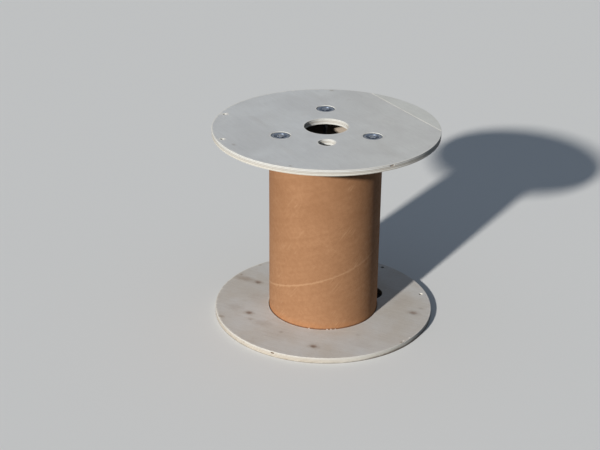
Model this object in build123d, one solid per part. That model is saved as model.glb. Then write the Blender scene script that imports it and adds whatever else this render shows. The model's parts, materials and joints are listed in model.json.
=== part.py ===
from build123d import *
from math import cos, radians, sin, sqrt, tan
import os

# Cable drum standing on one flange: two round plywood flanges, a paper tube barrel seated in a
# groove in each flange, and three steel tie rods inside the barrel that clamp the flanges together.
# All lengths are in millimetres. The axis is Z, and the drum's underside is at Z = 0.

# Flanges
flange_diameter = 400.0
flange_thickness = 10.5
rim_break = 0.5
traverse = 339.0

# Barrel tube
tube_diameter = 200.0
tube_wall = 4.0
tube_slack_outside = 1.2
tube_slack_inside = 0.2

# Tie rods, cup washers and thin nuts
rod_count = 3
rod_diameter = 8.0
first_rod_angle = 92.0
rod_to_tube_gap = 1.0
rod_hole_slack = 0.2
rod_end_chamfer = 0.8
washer_rim_diameter = 32.0
washer_mouth_diameter = 25.0
washer_floor_diameter = 21.0
washer_thickness = 1.6
washer_bore_slack = 0.4
nut_across_flats = 13.0
nut_height = 4.0
nut_bore_slack = 0.1
nut_chamfer_angle = 30.0
nut_sink = 0.4
rim_seat_slack = 1.0
cup_pocket_slack = 0.3
web_under_recess = 1.5

# Holes in the flanges
arbor_hole_diameter = 78.0
drive_hole_diameter = 30.0
arbor_to_drive_web = 23.0
cable_hole_diameter = 56.0
cable_hole_angle = 28.0
cable_hole_under_barrel = 6.0
tie_hole_diameter = 7.0
tie_hole_inset = 11.0
top_tie_hole_angles = (164.5, 202.5)
bottom_tie_hole_angles = (53.0, 13.5)

# Cutting tools reach this far past the faces they cut
overrun = 1.0

# Sizes that follow from the ones above
overall_height = traverse + 2 * flange_thickness
tube_radius = tube_diameter / 2
tube_bore_radius = tube_radius - tube_wall
rod_radius = rod_diameter / 2
rod_pitch_radius = tube_bore_radius - rod_to_tube_gap - rod_radius
rod_stack = washer_thickness + nut_height
recess_depth = rod_stack + nut_sink
rim_seat_depth = nut_sink + washer_thickness
rim_seat_diameter = washer_rim_diameter + 2 * rim_seat_slack
cup_pocket_diameter = washer_mouth_diameter + 2 * cup_pocket_slack
groove_depth = flange_thickness - recess_depth - web_under_recess
drive_hole_radius = arbor_hole_diameter / 2 + arbor_to_drive_web + drive_hole_diameter / 2
drive_hole_angle = first_rod_angle + 180
cable_hole_radius = tube_radius - cable_hole_under_barrel
tie_hole_radius = flange_diameter / 2 - tie_hole_inset
rod_angles = [first_rod_angle + turn * 360 / rod_count for turn in range(rod_count)]


def place(radius, angle):
    """X and Y of a point at a radius and an angle about the drum's axis."""
    return radius * cos(radians(angle)), radius * sin(radians(angle))


def round_bar(spot, diameter, low, high):
    """Upright cylinder at an (x, y) spot between two heights, whichever order they come in."""
    low, high = sorted((low, high))
    bar = Cylinder(diameter / 2, high - low, align=(Align.CENTER, Align.CENTER, Align.MIN))
    return Pos(spot[0], spot[1], low) * bar


def through_hole(spot, diameter, inner, outer):
    """Cutter for a hole that goes right through a flange between its inner and outer faces."""
    low, high = sorted((inner, outer))
    return round_bar(spot, diameter, low - overrun, high + overrun)


def barrel_groove(inner, outward):
    """Ring cutter for the seat that takes the end of the tube, open at the flange's inner face."""
    floor = inner + outward * groove_depth
    mouth = inner - outward * overrun
    ring = round_bar((0, 0), tube_diameter + 2 * tube_slack_outside, floor, mouth)
    core_diameter = 2 * (tube_bore_radius - tube_slack_inside)
    return ring - round_bar((0, 0), core_diameter, floor + outward * overrun, mouth - outward * overrun)


def flange(inner, outward, tie_hole_angles, has_cable_hole):
    """Plywood disc. inner is the height of the face towards the winding, and outward is +1 for a
    flange whose outer face is above it and -1 for one whose outer face is below it."""
    outer = inner + outward * flange_thickness
    disc = round_bar((0, 0), flange_diameter, inner, outer)
    disc = fillet(disc.edges().filter_by(GeomType.CIRCLE), rim_break)
    disc -= barrel_groove(inner, outward)
    disc -= through_hole((0, 0), arbor_hole_diameter, inner, outer)
    disc -= through_hole(place(drive_hole_radius, drive_hole_angle), drive_hole_diameter, inner, outer)
    for angle in rod_angles:
        spot = place(rod_pitch_radius, angle)
        disc -= through_hole(spot, rod_diameter + 2 * rod_hole_slack, inner, outer)
        for diameter, depth in ((rim_seat_diameter, rim_seat_depth), (cup_pocket_diameter, recess_depth)):
            disc -= round_bar(spot, diameter, outer - outward * depth, outer + outward * overrun)
    for angle in tie_hole_angles:
        disc -= through_hole(place(tie_hole_radius, angle), tie_hole_diameter, inner, outer)
    if has_cable_hole:
        spot = place(cable_hole_radius, cable_hole_angle)
        disc -= through_hole(spot, cable_hole_diameter, inner, outer)
    return disc


def barrel_tube():
    """Paper tube whose ends stand on the floors of the two grooves."""
    low = flange_thickness - groove_depth
    high = overall_height - low
    tube = round_bar((0, 0), tube_diameter, low, high)
    return tube - round_bar((0, 0), 2 * tube_bore_radius, low - overrun, high + overrun)


def tie_rod(spot):
    """Steel rod that runs through both flanges and ends level with the nuts' outer faces."""
    rod = round_bar(spot, rod_diameter, nut_sink, overall_height - nut_sink)
    return chamfer(rod.edges().filter_by(GeomType.CIRCLE), rod_end_chamfer)


def cup_washer(spot, seat, outward):
    """Dished washer whose floor lies at the height seat. Its wall leans out to a flat rim, and the
    cup is as deep as the nut in it, so that the rim and the nut are level."""
    floor_radius = washer_floor_diameter / 2
    lean = (washer_mouth_diameter / 2 - floor_radius) / nut_height
    wall = washer_thickness * sqrt(1 + lean ** 2)
    bore_radius = rod_radius + washer_bore_slack
    rim_top = nut_height + washer_thickness
    outline = Polyline(
        (bore_radius, 0),
        (floor_radius, 0),
        (washer_mouth_diameter / 2, nut_height),
        (washer_rim_diameter / 2, nut_height),
        (washer_rim_diameter / 2, rim_top),
        (floor_radius + lean * rim_top - wall, rim_top),
        (floor_radius + lean * washer_thickness - wall, washer_thickness),
        (bore_radius, washer_thickness),
        close=True,
    )
    ring = revolve(Plane.XZ * make_face(outline), Axis.Z)
    return Pos(spot[0], spot[1], seat) * Rot(0 if outward > 0 else 180, 0, 0) * ring


def nut(spot, seat, outward, turn):
    """Thin hexagon nut with its corners turned down at both faces."""
    corner_radius = nut_across_flats / sqrt(3)
    corner_drop = (corner_radius - nut_across_flats / 2) * tan(radians(nut_chamfer_angle))
    low, high = sorted((seat, seat + outward * nut_height))
    outline = RegularPolygon(corner_radius, 6, rotation=turn)
    hexagon = Pos(spot[0], spot[1], low) * extrude(outline, nut_height)
    turned = round_bar(spot, 2 * corner_radius, low, high)
    round_edges = turned.edges().filter_by(GeomType.CIRCLE)
    turned = chamfer(round_edges, corner_drop, corner_radius - nut_across_flats / 2)
    bore = rod_diameter + 2 * nut_bore_slack
    return (hexagon & turned) - round_bar(spot, bore, low - overrun, high + overrun)


def all_pieces():
    """Every piece of the drum by its name."""
    bottom_seat = recess_depth
    top_seat = overall_height - recess_depth
    top_inner = overall_height - flange_thickness
    pieces = {
        "bottom_flange": flange(flange_thickness, -1, bottom_tie_hole_angles, True),
        "top_flange": flange(top_inner, 1, top_tie_hole_angles, False),
        "barrel_tube": barrel_tube(),
    }
    for number, angle in enumerate(rod_angles, start=1):
        spot = place(rod_pitch_radius, angle)
        pieces[f"tie_rod_{number}"] = tie_rod(spot)
        pieces[f"washer_top_{number}"] = cup_washer(spot, top_seat, 1)
        pieces[f"washer_bottom_{number}"] = cup_washer(spot, bottom_seat, -1)
        nut_top_seat = top_seat + washer_thickness
        nut_bottom_seat = bottom_seat - washer_thickness
        pieces[f"nut_top_{number}"] = nut(spot, nut_top_seat, 1, 20 * number)
        pieces[f"nut_bottom_{number}"] = nut(spot, nut_bottom_seat, -1, 35 * number)
    return pieces


os.makedirs("parts", exist_ok=True)
for name, piece in all_pieces().items():
    export_step(piece, f"parts/{name}.step")
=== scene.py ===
import json
from math import atan2, cos, hypot, pi, radians, sin, tan

import bpy
import numpy as np
from mathutils import Matrix, Vector
from mathutils.geometry import delaunay_2d_cdt


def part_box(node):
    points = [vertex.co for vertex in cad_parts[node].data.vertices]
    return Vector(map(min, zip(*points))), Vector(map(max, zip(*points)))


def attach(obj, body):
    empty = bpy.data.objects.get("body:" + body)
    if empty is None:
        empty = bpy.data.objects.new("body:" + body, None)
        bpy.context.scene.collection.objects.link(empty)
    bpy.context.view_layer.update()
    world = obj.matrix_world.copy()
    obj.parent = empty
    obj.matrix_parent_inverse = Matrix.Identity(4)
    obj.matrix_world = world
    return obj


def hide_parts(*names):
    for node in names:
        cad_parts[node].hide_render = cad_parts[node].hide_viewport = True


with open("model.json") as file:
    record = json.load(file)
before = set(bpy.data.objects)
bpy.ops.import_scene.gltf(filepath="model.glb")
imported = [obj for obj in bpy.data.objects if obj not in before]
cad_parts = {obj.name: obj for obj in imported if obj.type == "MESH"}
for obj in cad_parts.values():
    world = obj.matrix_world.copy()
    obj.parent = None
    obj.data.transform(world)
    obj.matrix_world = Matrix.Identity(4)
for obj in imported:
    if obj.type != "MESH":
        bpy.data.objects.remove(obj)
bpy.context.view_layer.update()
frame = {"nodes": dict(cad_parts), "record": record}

# Looks of a cable drum: two plywood flanges, a spiral wound paper tube, and steel tie rods with
# their washers and nuts. Lengths are in metres, and MM turns a millimetre into metres.
MM = 0.001
mounts = {mount["name"]: mount for mount in frame["record"]["mounts"]}


def middle(node):
    """X and Y of the middle of a CAD node's box."""
    low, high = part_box(node)
    return (low.x + high.x) / 2, (low.y + high.y) / 2


def node_radii(node):
    """Least and greatest distance of a CAD node's corners from the drum's axis."""
    corners = frame["nodes"][node].data.vertices
    spots = np.empty(len(corners) * 3)
    corners.foreach_get("co", spots)
    reach = np.hypot(spots[0::3], spots[1::3])
    return reach.min(), reach.max()


# Sizes taken from the frame
FLANGE_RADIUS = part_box("top_flange")[1].x
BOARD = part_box("bottom_flange")[1].z
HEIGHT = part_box("top_flange")[1].z
TUBE_BORE_RADIUS, TUBE_RADIUS = node_radii("barrel_tube")
TUBE_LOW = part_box("barrel_tube")[0].z
TUBE_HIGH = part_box("barrel_tube")[1].z
CUP_RIM_RADIUS = (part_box("washer_top_1")[1].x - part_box("washer_top_1")[0].x) / 2
ROD_RADIUS = (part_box("tie_rod_1")[1].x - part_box("tie_rod_1")[0].x) / 2
POCKET_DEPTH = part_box("washer_bottom_1")[1].z
NUT_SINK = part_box("nut_bottom_1")[0].z
GROOVE_DEPTH = BOARD - TUBE_LOW
ROD_NUMBERS = (1, 2, 3)

# Sizes that the CAD source also names
GROOVE_OUTER = TUBE_RADIUS + 1.2 * MM
GROOVE_INNER = TUBE_BORE_RADIUS - 0.2 * MM
CUP_SHEET = 1.6 * MM
CUP_MOUTH_RADIUS = 12.5 * MM
CUP_FLOOR_RADIUS = 10.5 * MM
CUP_BORE_RADIUS = ROD_RADIUS + 0.4 * MM
SEAT_RADIUS = CUP_RIM_RADIUS + 1 * MM
SEAT_DEPTH = NUT_SINK + CUP_SHEET
POCKET_RADIUS = CUP_MOUTH_RADIUS + 0.3 * MM
ROD_HOLE_RADIUS = ROD_RADIUS + 0.2 * MM
RIM_BREAK = 0.5 * MM
CABLE_HOLE_RADIUS = 28 * MM
CABLE_HOLE_ANGLE = radians(28)
CABLE_HOLE_REACH = TUBE_RADIUS - 6 * MM
NUT_HALF_FLATS = 6.5 * MM
NUT_BORE_RADIUS = ROD_RADIUS + 0.1 * MM
ROD_CHAMFER = 0.8 * MM

# Five plies: two thin face veneers and three thicker core veneers
FACE_PLY = 1.2 * MM
CORE_PLY = (BOARD - 2 * FACE_PLY) / 3
GLUE_LINES = [FACE_PLY + turn * CORE_PLY for turn in range(4)]
GLUE_HALF = 0.12 * MM

# How close a depth lies to a face, or to the floor of a recess, to count as on it
FACE_SLACK = 0.02 * MM
FLOOR_SLACK = 0.01 * MM


# Wiring of materials and shader groups
ORIGIN = (0.0, 0.0, 0.0)


class Wiring:
    """Short words for adding nodes to one tree and joining them."""

    def __init__(self, tree):
        self.tree = tree

    def feed(self, socket, value):
        """Joins another node's socket to this one, or sets this one's own value."""
        if isinstance(value, bpy.types.NodeSocket):
            self.tree.links.new(value, socket)
        else:
            socket.default_value = value

    def node(self, kind, sockets, **settings):
        """A node of some kind, its settings, and what feeds its named sockets."""
        made = self.tree.nodes.new("ShaderNode" + kind)
        for name, value in settings.items():
            setattr(made, name, value)
        for name, value in sockets.items():
            self.feed(made.inputs[name], value)
        return made

    def math(self, operation, *values):
        return self.node("Math", dict(enumerate(values)), operation=operation).outputs[0]

    def times(self, first, second):
        return self.math("MULTIPLY", first, second)

    def plus(self, first, second):
        return self.math("ADD", first, second)

    def less(self, first, second):
        return self.math("SUBTRACT", first, second)

    def unsigned(self, value):
        return self.math("ABSOLUTE", value)

    def vector_math(self, operation, *values):
        made = self.node("VectorMath", dict(enumerate(values)), operation=operation)
        is_number = operation in ("DOT_PRODUCT", "LENGTH")
        return made.outputs["Value" if is_number else "Vector"]

    def part(self, vector, axis):
        """The X, Y or Z of a vector."""
        return self.node("SeparateXYZ", {"Vector": vector}).outputs[axis]

    def stretched(self, vector, factor):
        """A vector multiplied by one number."""
        made = self.node("VectorMath", {0: vector, "Scale": factor}, operation="SCALE")
        return made.outputs["Vector"]

    def scaled(self, vector, along_x, along_y, along_z):
        """A vector whose three parts are each multiplied by a number."""
        return self.vector_math("MULTIPLY", vector, (along_x, along_y, along_z))

    def from_axis(self, place):
        """Distance of a place from the drum's axis."""
        return self.vector_math("LENGTH", self.scaled(place, 1, 1, 0))

    def turned(self, vector, angle):
        """A vector turned back by an angle about the upright axis."""
        sockets = {"Vector": vector, "Angle": angle}
        made = self.node("VectorRotate", sockets, rotation_type="Z_AXIS", invert=True)
        return made.outputs["Vector"]

    def noise(self, vector, scale, detail=2.0, roughness=0.5, distortion=0.0):
        sockets = {"Vector": vector, "Scale": scale, "Detail": detail, "Roughness": roughness,
                   "Distortion": distortion}
        return self.node("TexNoise", sockets).outputs[0]

    def cells(self, vector, scale):
        """Distance to the nearest of points strewn at random."""
        return self.node("TexVoronoi", {"Vector": vector, "Scale": scale}).outputs["Distance"]

    def fade(self, value, start, end, low=0.0, high=1.0):
        """Goes smoothly from low to high as the value goes from start to end."""
        sockets = {"Value": value, "From Min": start, "From Max": end, "To Min": low, "To Max": high}
        return self.node("MapRange", sockets, interpolation_type="SMOOTHSTEP").outputs[0]

    def blend(self, share, first, second, kind="MIX"):
        """Colour between two others. Share 0 is the first and 1 the second."""
        made = self.node("Mix", {0: share, 6: first, 7: second}, data_type="RGBA", blend_type=kind)
        return made.outputs[2]

    def tint(self, colour, mask, share, other, kind="MIX"):
        """A colour that goes a share of the way to another one where the mask is 1."""
        return self.blend(self.times(mask, share), colour, other, kind)

    def between(self, share, first, second):
        """Number between two others. Share 0 is the first and 1 the second."""
        return self.node("Mix", {0: share, 2: first, 3: second}).outputs[0]

    def bump(self, height, distance):
        return self.node("Bump", {"Height": height, "Distance": distance}).outputs["Normal"]

    def group(self, tree, **sockets):
        """A shader group with its own values in this tree."""
        return self.node("Group", sockets, node_tree=tree).outputs


def srgb(red, green, blue):
    """Linear colour of three display values from 0 to 255."""
    shares = np.array([red, green, blue]) / 255
    linear = np.where(shares <= 0.04045, shares / 12.92, ((shares + 0.055) / 1.055) ** 2.4)
    return (*linear.tolist(), 1.0)


def shader_group(name, inputs, outputs):
    """An empty shader group. Inputs map a name to its first value, and outputs are all numbers."""
    tree = bpy.data.node_groups.new(name, "ShaderNodeTree")
    for label, value in inputs.items():
        kind = "NodeSocketVector" if isinstance(value, tuple) else "NodeSocketFloat"
        socket = tree.interface.new_socket(name=label, in_out="INPUT", socket_type=kind)
        socket.default_value = value
    for label in outputs:
        tree.interface.new_socket(name=label, in_out="OUTPUT", socket_type="NodeSocketFloat")
    given = tree.nodes.new("NodeGroupInput").outputs
    result = tree.nodes.new("NodeGroupOutput").inputs
    return Wiring(tree), given, result


def wood_fibre_group():
    """Solid wood whose fibres run level, at an angle about the upright axis. Figure is the broad
    growth bands, Streaks the lines of fibre and Pores the short open vessels."""
    wires, given, result = shader_group(
        "wood_fibre", {"Vector": ORIGIN, "Angle": 0.0}, ("Figure", "Streaks", "Pores"))
    along = wires.turned(given["Vector"], given["Angle"])
    bands = wires.noise(wires.scaled(along, 5, 34, 34), 1.0, 3, 0.45, 0.8)
    wires.feed(result["Figure"], wires.fade(bands, 0.32, 0.68))
    lines = wires.noise(wires.scaled(along, 22, 620, 620), 1.0, 3, 0.6, 0.3)
    wires.feed(result["Streaks"], wires.fade(lines, 0.3, 0.7))
    vessels = wires.noise(wires.scaled(along, 210, 3400, 3400), 1.0, 1, 0.5)
    wires.feed(result["Pores"], wires.fade(vessels, 0.66, 0.76))
    return wires.tree


def placed_patch_group():
    """Soft oval patch at a named place. Mask is 1 at its centre and 0 past its ragged edge."""
    wires, given, result = shader_group(
        "placed_patch",
        {"Vector": ORIGIN, "Centre": ORIGIN, "Angle": 0.0, "Length": 0.01,
         "Width": 0.01, "Depth": 0.004, "Ragged": 0.3}, ("Mask",))
    apart = wires.vector_math("SUBTRACT", given["Vector"], given["Centre"])
    along = wires.turned(apart, given["Angle"])
    size = wires.node("CombineXYZ", {"X": given["Length"], "Y": given["Width"], "Z": given["Depth"]})
    share = wires.vector_math("DIVIDE", along, size.outputs[0])
    ragged = wires.less(wires.noise(share, 2.3, 3, 0.6), 0.5)
    reach = wires.plus(wires.vector_math("LENGTH", share), wires.times(ragged, given["Ragged"]))
    wires.feed(result["Mask"], wires.fade(reach, 1.0, 0.15))
    return wires.tree


def corner_wear_group():
    """Where a corner is rubbed. Distance is how far a point lies from the nearest corner."""
    wires, given, result = shader_group(
        "corner_wear", {"Vector": ORIGIN, "Distance": 0.01, "Width": 0.001}, ("Mask",))
    uneven = wires.fade(wires.noise(given["Vector"], 160, 3, 0.6), 0.25, 0.75, 0.25, 1.5)
    width = wires.times(given["Width"], uneven)
    wires.feed(result["Mask"], wires.fade(given["Distance"], width, 0.0))
    return wires.tree


def settled_dust_group():
    """Dust on what faces up, gathered in patches. Facing is how far the surface looks upwards."""
    wires, given, result = shader_group(
        "settled_dust", {"Vector": ORIGIN, "Facing": 1.0, "Amount": 0.3}, ("Mask",))
    upward = wires.fade(given["Facing"], 0.3, 0.95)
    patches = wires.fade(wires.noise(given["Vector"], 38, 4, 0.65), 0.38, 0.72)
    specks = wires.fade(wires.cells(given["Vector"], 620), 0.16, 0.05)
    both = wires.math("MAXIMUM", wires.times(patches, 0.55), specks)
    wires.feed(result["Mask"], wires.times(wires.times(both, upward), given["Amount"]))
    return wires.tree


def hairlines_group():
    """Fine scratches and rubs that run at an angle in the X and Y of the vector."""
    wires, given, result = shader_group(
        "hairlines", {"Vector": ORIGIN, "Angle": 0.0, "Fineness": 1.0}, ("Mask",))
    along = wires.turned(given["Vector"], given["Angle"])
    fine = wires.stretched(wires.scaled(along, 9, 260, 260), given["Fineness"])
    lines = wires.noise(fine, 1.0, 2, 0.5, 0.4)
    ridge = wires.fade(wires.unsigned(wires.less(lines, 0.5)), 0.02, 0.0)
    places = wires.fade(wires.noise(given["Vector"], 24, 2, 0.5), 0.52, 0.7)
    wires.feed(result["Mask"], wires.times(ridge, places))
    return wires.tree


wood_fibre = wood_fibre_group()
placed_patch = placed_patch_group()
corner_wear = corner_wear_group()
settled_dust = settled_dust_group()
hairlines = hairlines_group()


def new_material(name):
    """A material with its Principled shader, object coordinates and the way up of its surface."""
    material = bpy.data.materials.new(name)
    material.use_nodes = True
    wires = Wiring(material.node_tree)
    shader = material.node_tree.nodes["Principled BSDF"]
    place = wires.node("TexCoord", {})
    facing = wires.part(place.outputs["Normal"], "Z")
    return material, wires, shader, place.outputs["Object"], facing


def stored(wires, name):
    """A number that the mesh keeps at each of its corners."""
    return wires.node("Attribute", {}, attribute_name=name, attribute_type="GEOMETRY").outputs["Fac"]


def rubbed_mask(wires, place, distance, width):
    """Mask of worn corners, from the stored distance to the nearest corner."""
    distance = stored(wires, distance)
    return wires.group(corner_wear, Vector=place, Distance=distance, Width=width)["Mask"]


def dust_mask(wires, place, facing, amount):
    return wires.group(settled_dust, Vector=place, Facing=facing, Amount=amount)["Mask"]


def patch_mask(wires, place, centre, grain, length, width, ragged, depth=4):
    """Mask of one oval patch. Its centre and its size along, across and below are millimetres."""
    return wires.group(placed_patch, Vector=place, Centre=tuple(part * MM for part in centre),
                       Angle=grain, Length=length * MM, Width=width * MM, Depth=depth * MM,
                       Ragged=ragged)["Mask"]


def seen_directly(wires):
    """1 for a ray from the eye, by itself or by way of metal or glass, and 0 for any other."""
    rays = wires.node("LightPath", {}).outputs
    mirrored = wires.math("MAXIMUM", rays["Is Glossy Ray"], rays["Is Transmission Ray"])
    return wires.math("MAXIMUM", rays["Is Camera Ray"], mirrored)


# Marks on the two outer faces, in millimetres. A knot is its X, Y, size and strength, a smear its
# X, Y, length, width and strength, and a torn spot its X, Y, length and width.
UPPER_GRAIN = atan2(-189.0, 116.5)
LOWER_GRAIN = radians(154)
UPPER_FACE = HEIGHT / MM
LOWER_FACE = BOARD / MM
upper_knots = [(-153, -97, 3.4, 0.30), (38, 143, 2.2, 0.16)]
upper_smears = [(-120, 20, 70, 9, 0.10), (-60, -120, 80, 12, 0.08), (100, -100, 90, 16, 0.08),
                (-20, 150, 90, 14, 0.07), (-79, -50, 28, 24, 0.24), (81, -41, 28, 24, 0.2),
                (-54, -184.5, 5, 3.6, 0.5), (6, 192.5, 7, 6, 0.5)]
lower_knots = [(-126, 74, 5.4, 0.85), (-134.5, -46, 5.6, 0.9), (-130, -70, 4.0, 0.22),
               (-13, -160, 5.8, 0.84), (166.5, -30, 7.0, 0.61), (64.5, -116.5, 3.0, 0.16),
               (182, -13, 3.6, 0.2)]
lower_smears = [(-153, 88, 38, 13, 0.4), (-184, -62, 10, 5, 0.45), (-120, 10, 40, 30, 0.12),
                (-80, -120, 50, 30, 0.1), (70, -150, 44, 24, 0.1), (140, 20, 40, 30, 0.1),
                (-161, 105, 5.5, 4.5, 0.5), (-127.5, 148, 4.5, 4, 0.4), (-72, -113.5, 6, 4.5, 0.35),
                (-107, -83, 28, 16, 0.22), (-163, -25, 26, 18, 0.18), (141, -138, 3.4, 9, 0.5)]

# Fresh pale wood where the face is torn: round the upper tie holes, and at a chip in the lower rim
upper_torn = [(-178.5, 55.5, 5.0, 3.2), (-176.0, 48.5, 3.4, 2.4), (-179.5, -69, 2.6, 2.2),
              (-170, -70.5, 3.2, 1.8), (-176.5, -78, 3.0, 2.4), (-170.5, -76, 2.2, 1.6)]
lower_torn = [(144.9, -132.4, 2.6, 4.4), (139, -141, 2.6, 1.4), (155.8, -121.3, 2.2, 3.6)]

# The seam between two sheets of the upper face's veneer, from rim to rim
SEAM_START = np.array([80.5, 183.0]) * MM
SEAM_END = np.array([197.0, -6.0]) * MM
SEAM_DIRECTION = (SEAM_END - SEAM_START) / np.linalg.norm(SEAM_END - SEAM_START)


def past_seam(spots):
    """Signed distance of flat spots from the seam line: positive on the side away from the axis."""
    from_start = np.asarray(spots) - SEAM_START
    return from_start[..., 1] * SEAM_DIRECTION[0] - from_start[..., 0] * SEAM_DIRECTION[1]


def sheet_veneer(name, face, grain, colours, knots, smears, torn, has_seam):
    """Bare face veneer at a height in millimetres: pale wood with clouds, fibre, pores, knots,
    smears and a rubbed rim, whose pale wear is also a painted highlight, strong at the left and
    faint at the right. Colours are the pale wood, the darker wood and a knot's halo. The face with
    the seam is paler beyond it, and warmer towards its right."""
    material, wires, shader, place, facing = new_material(name)
    pale, dark, halo_brown = (srgb(*colour) for colour in colours)
    knot_brown, raw_wood, grey_dust = srgb(108, 80, 62), srgb(230, 225, 214), srgb(196, 194, 190)
    beyond_tint, warm_tint = (1.04, 1.045, 1.02, 1), (1.0, 0.985, 0.955, 1)
    grain_side = (-sin(grain), cos(grain), 0.0)

    # The fibre flows round each knot: its lines are pushed out along the line across the grain
    flow = place
    halos = []
    for x, y, size, strength in knots:
        core = patch_mask(wires, place, (x, y, face), grain, size * 1.45, size * 1.15, 0.5)
        halo = patch_mask(wires, place, (x, y, face), grain, size * 2.9, size * 2.0, 0.7)
        halos.append((core, halo, strength))
        apart = wires.vector_math("SUBTRACT", place, (x * MM, y * MM, face * MM))
        across = wires.vector_math("DOT_PRODUCT", apart, grain_side)
        push = wires.stretched(grain_side, wires.times(across, wires.times(halo, -0.75)))
        flow = wires.vector_math("ADD", flow, push)

    fibre = wires.group(wood_fibre, Vector=flow, Angle=grain)
    clouds = wires.noise(place, 11, 4, 0.55, 0.4)
    mottle = wires.fade(wires.noise(wires.turned(place, grain), 46, 4, 0.6), 0.3, 0.72)
    colour = wires.blend(wires.fade(clouds, 0.3, 0.72), pale, dark)
    colour = wires.tint(colour, fibre["Figure"], 0.16, dark)
    colour = wires.tint(colour, mottle, 0.34, dark)
    colour = wires.tint(colour, fibre["Streaks"], 0.13, dark, "MULTIPLY")
    colour = wires.tint(colour, fibre["Pores"], 0.5, halo_brown, "MULTIPLY")

    for x, y, length, width, strength in smears:
        smear = patch_mask(wires, place, (x, y, face), grain, length, width, 1.1)
        colour = wires.tint(colour, smear, strength, halo_brown, "MULTIPLY")
    knot_dip = 0.0
    for core, halo, strength in halos:
        colour = wires.tint(colour, halo, 0.5 * strength, halo_brown, "MULTIPLY")
        colour = wires.tint(colour, core, 0.82 * strength, knot_brown)
        knot_dip = wires.plus(knot_dip, wires.times(core, -0.6))

    aside = wires.part(place, "X")
    # Pale rubbed wood at the corners: wear, and also a painted highlight, stronger at the rim and
    # strongest at the left, where light falls, faint at the right, in the shade
    rubbed = rubbed_mask(wires, place, "corner_distance", 4.0 * MM)
    at_rim = wires.fade(wires.from_axis(place), FLANGE_RADIUS - 16 * MM, FLANGE_RADIUS - 6 * MM,
                        0.45, 0.9)
    at_rim = wires.times(at_rim, wires.fade(aside, 80 * MM, -30 * MM, 0.25, 1.0))
    if has_seam:
        seam = stored(wires, "seam_distance")
        colour = wires.blend(wires.fade(seam, -0.2 * MM, 0.2 * MM), colour, beyond_tint, "MULTIPLY")
        line = wires.fade(wires.unsigned(seam), 2.3 * MM, 0.3 * MM)
        line_break = wires.fade(wires.noise(place, 26, 3, 0.6), 0.35, 0.65, 0.28, 0.54)
        colour = wires.tint(colour, line, line_break, raw_wood)
    colour = wires.tint(colour, rubbed, at_rim, raw_wood)
    if has_seam:
        colour = wires.blend(wires.fade(aside, -60 * MM, 120 * MM), colour, warm_tint, "MULTIPLY")
    for x, y, length, width in torn:
        patch = patch_mask(wires, place, (x, y, face), grain, length, width, 0.9)
        colour = wires.tint(colour, patch, 0.95, raw_wood)
    colour = wires.blend(dust_mask(wires, place, facing, 0.3), colour, grey_dust)
    rubs = wires.group(hairlines, Vector=place, Angle=grain + 0.5, Fineness=1.0)["Mask"]
    colour = wires.tint(colour, rubs, 0.22, raw_wood)
    wires.feed(shader.inputs["Base Color"], colour)

    rough = wires.math("MULTIPLY_ADD", fibre["Streaks"], 0.14, 0.56)
    wires.feed(shader.inputs["Roughness"], wires.math("MULTIPLY_ADD", fibre["Pores"], 0.2, rough))
    shader.inputs["Specular IOR Level"].default_value = 0.18

    nap = wires.noise(place, 2600, 2, 0.6)
    height = wires.math("MULTIPLY_ADD", nap, 0.16, wires.times(fibre["Streaks"], 0.5))
    height = wires.less(height, wires.times(fibre["Pores"], 0.5))
    height = wires.less(height, wires.times(rubs, 0.4))
    height = wires.plus(height, knot_dip)
    height = wires.math("MULTIPLY_ADD", fibre["Figure"], 0.35, height)
    wires.feed(shader.inputs["Normal"], wires.bump(height, 0.09 * MM))
    return material


def foot_painted_light_and_soil(wires, colour, place, depth, from_axis):
    """The cut face of the board on the ground: a painted light that makes it paler towards its right,
    where light falls on it, and a dark band along its lower edge, partly soil and partly painted
    contact shade, higher and darker towards its right, where it is painted shade."""
    painted_light_wood, soil_and_shade_brown = srgb(222, 222, 215), srgb(88, 75, 62)
    aside = wires.part(place, "X")
    # Painted light: the rim is paler towards its right, where light falls on it
    painted_light_share = wires.fade(aside, -40 * MM, 90 * MM, 0.0, 0.38)
    at_rim = wires.fade(from_axis, 150 * MM, 190 * MM)
    colour = wires.tint(colour, painted_light_share, at_rim, painted_light_wood)
    # A dark band along the lower edge: soil and painted contact shade where the board meets the
    # ground; its rise and darkening towards the right is painted shade
    soil_and_shade_top = wires.fade(wires.noise(place, 70, 3, 0.6), 0.3, 0.7, 1.8 * MM, 4.4 * MM)
    soil_and_shade_top = wires.plus(soil_and_shade_top, wires.fade(aside, 60 * MM, 150 * MM, 0.0, 3.0 * MM))
    soil_and_shade = wires.fade(depth, soil_and_shade_top, 0.7 * MM)
    return wires.tint(colour, soil_and_shade, wires.fade(aside, 20 * MM, 130 * MM, 0.5, 0.95), soil_and_shade_brown)


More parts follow.
